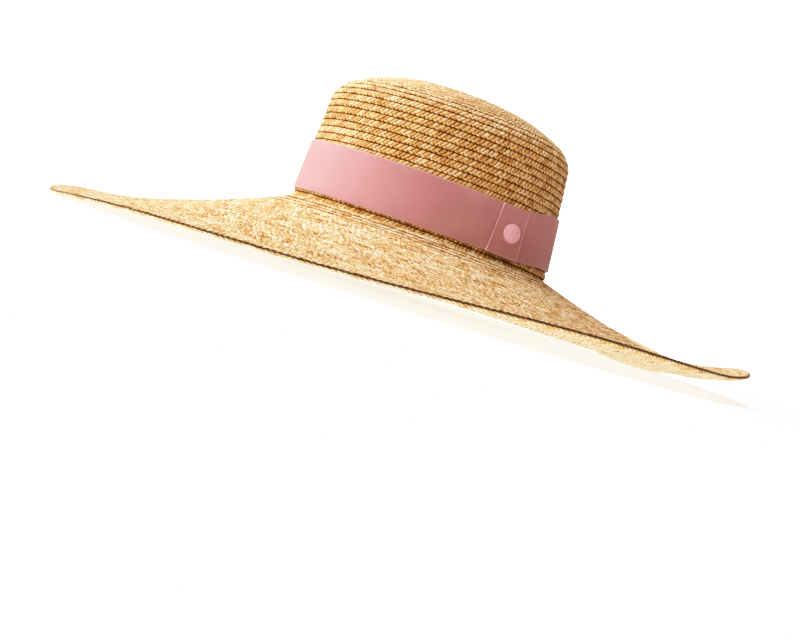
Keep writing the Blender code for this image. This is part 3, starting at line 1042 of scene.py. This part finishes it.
def pink_skin(name, dark, light, roughness, sheen=0.0, grain=0.1, edge=None, coat=0.0):
    """A soft coloured skin. edge is a pale colour for painted highlights on cut edges, found from the
    strap's own UV.
    """
    material, tree, skin = new_material(name)
    wandering = use_group(tree, SKIN_WANDER)
    tone = map_range(tree, wandering["Tone"], *SKIN_TONES)
    shown = mix_colours(tree, tone, (*dark, 1), (*light, 1))
    if edge:
        # The strap's UV holds painted shade beside the tab, which deepens the colour, and the paleness of
        # painted highlights.
        shade, pale = parts_of(tree, uv_layer(tree, "strap"))[:2]
        power = map_range(tree, shade, to_low=1.0, to_high=SKIN_SHADE_POWER)
        deeper = power_of_colour(tree, shown, power)
        shown = mix_colours(tree, map_range(tree, pale, smooth=True), deeper, (*edge, 1))
    span = (roughness - SKIN_ROUGHNESS_SWING, roughness + SKIN_ROUGHNESS_SWING)
    bump = add(tree, "ShaderNodeBump")
    feed_all(tree, bump, Height=wandering["Grain"], Strength=grain, Distance=GRAIN_DEPTH)
    feed_all(
        tree, skin, Base_Color=shown, Normal=bump.outputs["Normal"],
        Roughness=map_range(tree, wandering["Tone"], *NOISE_SPAN, *span),
        Sheen_Weight=sheen, Sheen_Roughness=SKIN_SHEEN_ROUGHNESS, Sheen_Tint=SKIN_SHEEN_TINT,
        Specular_IOR_Level=SKIN_GLOSS, Coat_Weight=coat, Coat_Roughness=SKIN_COAT_ROUGHNESS,
    )
    return material


strap_leather = pink_skin(
    "strap_leather", (0.47, 0.186, 0.189), (0.53, 0.222, 0.226), 0.5, sheen=0.4, edge=(0.78, 0.50, 0.49),
)
stud_enamel = pink_skin(
    "stud_enamel", (0.90, 0.43, 0.53), (0.93, 0.48, 0.58), 0.32, grain=0.02, coat=0.4,
)
print("pinks:", strap_leather.name, stud_enamel.name)

# %% [markdown]
# A strap is a flat section with half-round edges, swept round the crown's wall. It isn't level: its
# edges climb behind the tab, so their heights come from a table. The tab is a short
# piece of the same section that lies on top. Its ends are closed by drawing the thickness in to
# nothing over a small radius, which rounds them, and a fine bead along them is the folded edge that
# catches the light in the photograph. The tab's ends are painted paler, most at the corners, partly
# as the cut edge's own colour and partly as painted highlight, and a painted highlight runs along the
# folded edge near its far end.

# %% Strap and tab
BAND_TABLE = np.array([
    # angle in degrees, bottom edge and top edge in mm
    (15, 6.4, 43.5), (50, 5.5, 42.1), (95, 5.6, 40.6), (108, 5.8, 40.6),
    (138, 8.4, 46.5), (180, 10.0, 47.8), (260, 9.5, 46.5), (340, 7.6, 45.6),
])
BAND_WIDTH = 36 * MM
BAND_STEPS = 720
BAND_INNER, BAND_OUTER = 0.3 * MM, 1.3 * MM
BAND_RIPPLE, BAND_RIPPLE_BEND = 0.07 * MM, 3
BAND_SHADE, BAND_SHADE_REACH = 0.7, 1.6 * MM
TAB_LOW, TAB_HIGH = 5.2 * MM, 40.3 * MM
TAB_INNER, TAB_OUTER = 1.6 * MM, 2.8 * MM
TAB_START, TAB_END = np.radians([(95.3, 98.3), (111.9, 113.1)])  # each at the bottom, at the top
TAB_STEPS = 61
TAB_PINCH = 0.025
TAB_BEAD, TAB_BEAD_PLACE, TAB_BEAD_WIDTH = 0.15 * MM, 0.9 * MM, 0.5 * MM
# A painted highlight along the folded edge near the tab's far end: how pale, how far from the end, how
# wide.
TAB_FOLD_HIGHLIGHT, TAB_FOLD_HIGHLIGHT_PLACE, TAB_FOLD_HIGHLIGHT_WIDTH = 0.4, 1.2 * MM, 0.8 * MM
# The tab's ends are painted paler, partly the cut edge's own colour and partly painted highlight, most at
# the corners.
TAB_WORN_AND_LIT, TAB_CORNERS_LIT, TAB_WORN_AND_LIT_WIDTH = 0.08, 0.8, 0.6 * MM
END_ROUND = 0.7 * MM
FACE_POINTS = 13
EDGE_ARC = np.linspace(0, math.pi, 7)[1:-1]


def strap_section(low, high, inner, outer):
    """Height, standoff and edge paleness of the points round a flat strap's section. The paleness is a
    painted highlight on the round edges.
    """
    radius, middle = (outer - inner) / 2, (outer + inner) / 2
    face = np.linspace(low + radius, high - radius, FACE_POINTS)
    back = face[::-3]
    up, out = radius * np.sin(EDGE_ARC), radius * np.cos(EDGE_ARC)
    height = np.concatenate([face, high - radius + up, back, low + radius - up])
    standoff = np.concatenate([
        np.full_like(face, outer), middle + out, np.full_like(back, inner), middle - out,
    ])
    pale = np.sin(EDGE_ARC)
    return height, standoff, np.concatenate([np.zeros_like(face), pale, np.zeros_like(back), pale])


def wall_points(angle, height, standoff):
    return oval(angle, height, CROWN_TAPER * height - standoff)


def band_edges(angle):
    """Heights of the band's bottom and top edges, easing from row to row of the table."""
    rows = np.concatenate([BAND_TABLE, BAND_TABLE[:1] + (360, 0, 0)])
    degrees = (np.degrees(angle) - rows[0, 0]) % 360 + rows[0, 0]
    first = np.clip(np.searchsorted(rows[:, 0], degrees, side="right") - 1, 0, len(rows) - 2)
    start, end = rows[first], rows[first + 1]
    t = (degrees - start[:, 0]) / (end[:, 0] - start[:, 0])
    ease = (t * t * (3 - 2 * t))[:, None]
    return ((start + (end - start) * ease)[:, 1:] * MM).T


def tab_angle(ends, height):
    """The angle of a slanted end of the tab at a height."""
    return ends[0] + (ends[1] - ends[0]) * (height - TAB_LOW) / (TAB_HIGH - TAB_LOW)


def hump(place, middle, width):
    return np.exp(-((place - middle) / width) ** 2)[:, None]


def band():
    height, standoff, pale = strap_section(0, BAND_WIDTH, BAND_INNER, BAND_OUTER)
    turn = np.linspace(0, 1, BAND_STEPS, endpoint=False)
    bottom, top = band_edges(2 * math.pi * turn)
    turn = turn[:, None]
    share = height / BAND_WIDTH
    ripple = wander(turn * WANDER_TURNS, BAND_RIPPLE, seed=7) * (1 + np.sin(share * BAND_RIPPLE_BEND))
    height = bottom[:, None] + (top - bottom)[:, None] * share
    points = wall_points(2 * math.pi * turn, height, standoff + np.abs(ripple))
    # Painted shade on the strap just past the tab's far end.
    past_tab = (2 * math.pi * turn - tab_angle(TAB_END, height)) * FOOT_HALF_LENGTH
    shade = BAND_SHADE * np.exp(-np.abs(past_tab) / BAND_SHADE_REACH)
    uv = np.stack(np.broadcast_arrays(shade, pale), axis=-1)
    return grid_piece(
        "strap_band", points, strap_leather, uv, "strap", True, close_rows=True, close_columns=True,
    )


def tab():
    height, standoff, pale = strap_section(TAB_LOW, TAB_HIGH, TAB_INNER, TAB_OUTER)
    share = 0.5 - 0.5 * np.cos(np.linspace(0, math.pi, TAB_STEPS))
    up = (height - TAB_LOW) / (TAB_HIGH - TAB_LOW)
    start, end = tab_angle(TAB_START, height), tab_angle(TAB_END, height)
    angle = start + (end - start) * share[:, None]
    along = share * (TAB_END - TAB_START).mean() * FOOT_HALF_LENGTH
    from_end = np.minimum(along, along[-1] - along)
    keep = np.sqrt(1 - (1 - np.clip(from_end / END_ROUND, 0, 1)) ** 2)[:, None]
    middle, centre = (TAB_INNER + TAB_OUTER) / 2, (TAB_LOW + TAB_HIGH) / 2
    bead = TAB_BEAD * hump(from_end, TAB_BEAD_PLACE, TAB_BEAD_WIDTH) * (standoff > middle)
    lifted = middle + (standoff - middle) * keep + bead
    pinched = centre + (height - centre) * (1 - TAB_PINCH * (1 - keep))
    points = wall_points(angle, pinched, lifted)
    # Paler cut edges and painted highlights along the ends, most at the corners, and a painted highlight
    # near the far end.
    worn_and_lit = TAB_WORN_AND_LIT + TAB_CORNERS_LIT * (2 * up - 1) ** 4
    fold_highlight = TAB_FOLD_HIGHLIGHT * hump(along[-1] - along, TAB_FOLD_HIGHLIGHT_PLACE, TAB_FOLD_HIGHLIGHT_WIDTH)
    paleness = np.maximum(np.maximum(pale, fold_highlight), worn_and_lit * hump(from_end, 0, TAB_WORN_AND_LIT_WIDTH))
    uv = np.stack([np.zeros_like(paleness), paleness], axis=-1)
    return grid_piece("strap_tab", points, strap_leather, uv, "strap", True, close_columns=True)


hat_piece(band(), "strap", "band")
hat_piece(tab(), "strap", "band_tab")

# %% [markdown]
# Some shade is finer than soft light can draw, so we paint it. The strap shades the straw just below
# its edge, and the thicker tab shades it further down. The brim's round edge, between its last row
# and the one sewn under it, is a line of dark beads, darkest at the wearer's left. How much each
# point is shaded goes into a UV layer called shade, and the straw materials read it. The shade
# belongs to the hat and not to the camera, so it is the same from every side.

# %% Painted shade
STRAP_SHADE, TAB_SHADE = (2.2 * MM, 0.5), (4.5 * MM, 1.0)  # how far down, how deep
TAB_SHADE_SPREAD, TAB_SHADE_SHARPNESS = 1.1, 8
RIM_SHADE, RIM_DARKEST = 1.3, math.radians(80)
RIM_SHADE_LEAST, RIM_SHADE_MEAN, RIM_SHADE_SWING = 0.35, 0.37, 0.73
BEAD_SHADE, BEAD_LENGTH = 0.8, 1.1 * STROKE
BEAD_DRIFT, BEAD_DRIFT_CYCLES = 3, 11


def strap_shade(points):
    angle = np.arctan2(points[:, 0] / FOOT_HALF_WIDTH, -points[:, 1] / FOOT_HALF_LENGTH)
    height = (points[:, 2] - FOOT_HEIGHT + FOOT_DROP * points[:, 1]) / (1 + BACK_RISE * points[:, 1])
    bottom, top = band_edges(angle)
    off_tab = 2 * (angle - TAB_START[0]) / (TAB_END[0] - TAB_START[0]) - 1
    near_tab = np.exp(-(off_tab / TAB_SHADE_SPREAD) ** TAB_SHADE_SHARPNESS)
    reach, depth = (a + (b - a) * near_tab for a, b in zip(STRAP_SHADE, TAB_SHADE))
    return depth * np.clip(1 - (bottom - height) / reach, 0, 1) * (height < top)


def rim_shade(points):
    """Dark over the brim's rounded edge, in beads about as long as a stroke."""
    rim = np.hypot(points[:, 0] / RIM_HALF_WIDTH, points[:, 1] / RIM_HALF_LENGTH)
    off_rim = (1 - rim) * (RIM_HALF_WIDTH + RIM_HALF_LENGTH) / 2
    angle = np.arctan2(points[:, 0] / RIM_HALF_WIDTH, -points[:, 1] / RIM_HALF_LENGTH)
    drift = BEAD_DRIFT * np.sin(BEAD_DRIFT_CYCLES * angle)
    beads = np.sin(angle * RIM_HALF_LENGTH / BEAD_LENGTH * 2 * math.pi + drift)
    swing = RIM_SHADE_MEAN + RIM_SHADE_SWING * np.cos(angle - RIM_DARKEST)
    depth = RIM_SHADE * np.maximum(RIM_SHADE_LEAST, swing) + BEAD_SHADE * beads
    return depth * np.clip(1 - off_rim / RIM_ROUND, 0, 1)


def add_shade(name, shade_at):
    mesh = bpy.data.objects[name].data
    points = np.empty(3 * len(mesh.vertices), np.float32)
    mesh.vertices.foreach_get("co", points)
    corners = np.empty(len(mesh.loops), np.int32)
    mesh.loops.foreach_get("vertex_index", corners)
    shade = shade_at(points.reshape(-1, 3))[corners]
    layer = mesh.uv_layers.new(name="shade")
    layer.uv.foreach_set("vector", np.stack([shade, shade], axis=-1).astype(np.float32).ravel())
    print(name, "shaded share:", (shade > 0).mean().round(2))


for name in ("crown_tip_braid", "crown_wall_braid", "crown_foot_braid"):
    add_shade(name, strap_shade)
for name in ("brim_inner_braid", "brim_outer_braid", "brim_underside_braid", "crown_inside_braid"):
    add_shade(name, rim_shade)

# %% [markdown]
# The stud is a small turned cap: a short skirt, a rounded rim, a fine groove and a low dome. A lathe
# profile spun round its axis gives them all. The cap is turned a little towards the front, as a stud
# is that was pushed through soft leather, and the skirt closes the gap that this leaves.

# %% Stud
STUD_ANGLE = np.array(math.radians(105))
STUD_HEIGHT = np.array(22.2 * MM)
STUD_SEAT = 3.1 * MM
STUD_TURN = math.radians(-8)
STUD_PROFILE = np.array([
    # radius, height over the tab in mm
    (5.6, -1.2), (5.6, -0.1), (6.5, 0.0), (6.75, 0.25), (6.8, 0.7), (6.78, 1.1), (6.65, 1.38),
    (6.45, 1.5), (6.25, 1.45), (6.1, 1.3), (6.0, 1.22), (5.9, 1.25), (5.6, 1.4), (5.0, 1.62),
    (4.2, 1.86), (3.2, 2.1), (2.2, 2.26), (1.1, 2.36), (0.2, 2.4),
]) * MM
STUD_SIDES = 72


def stud():
    around = np.arange(STUD_SIDES) / STUD_SIDES * 2 * math.pi
    radius, height = STUD_PROFILE[:, 0, None], STUD_PROFILE[:, 1, None]
    ring = (radius * np.cos(around), radius * np.sin(around), height)
    seat = wall_points(STUD_ANGLE, STUD_HEIGHT, STUD_SEAT)
    axis = Vector(outward(crown_surface, STUD_ANGLE, STUD_HEIGHT, 1))
    axis = np.array(Matrix.Rotation(STUD_TURN, 3, "Z") @ axis)
    side = np.cross((0, 0, 1), axis)
    side /= np.linalg.norm(side)
    local = np.stack(np.broadcast_arrays(*ring), axis=-1)
    points = seat + local @ np.stack([side, np.cross(axis, side), axis])
    return grid_piece("stud_cap", points, stud_enamel, flip=True, close_columns=True)


hat_piece(stud(), "button", "button")
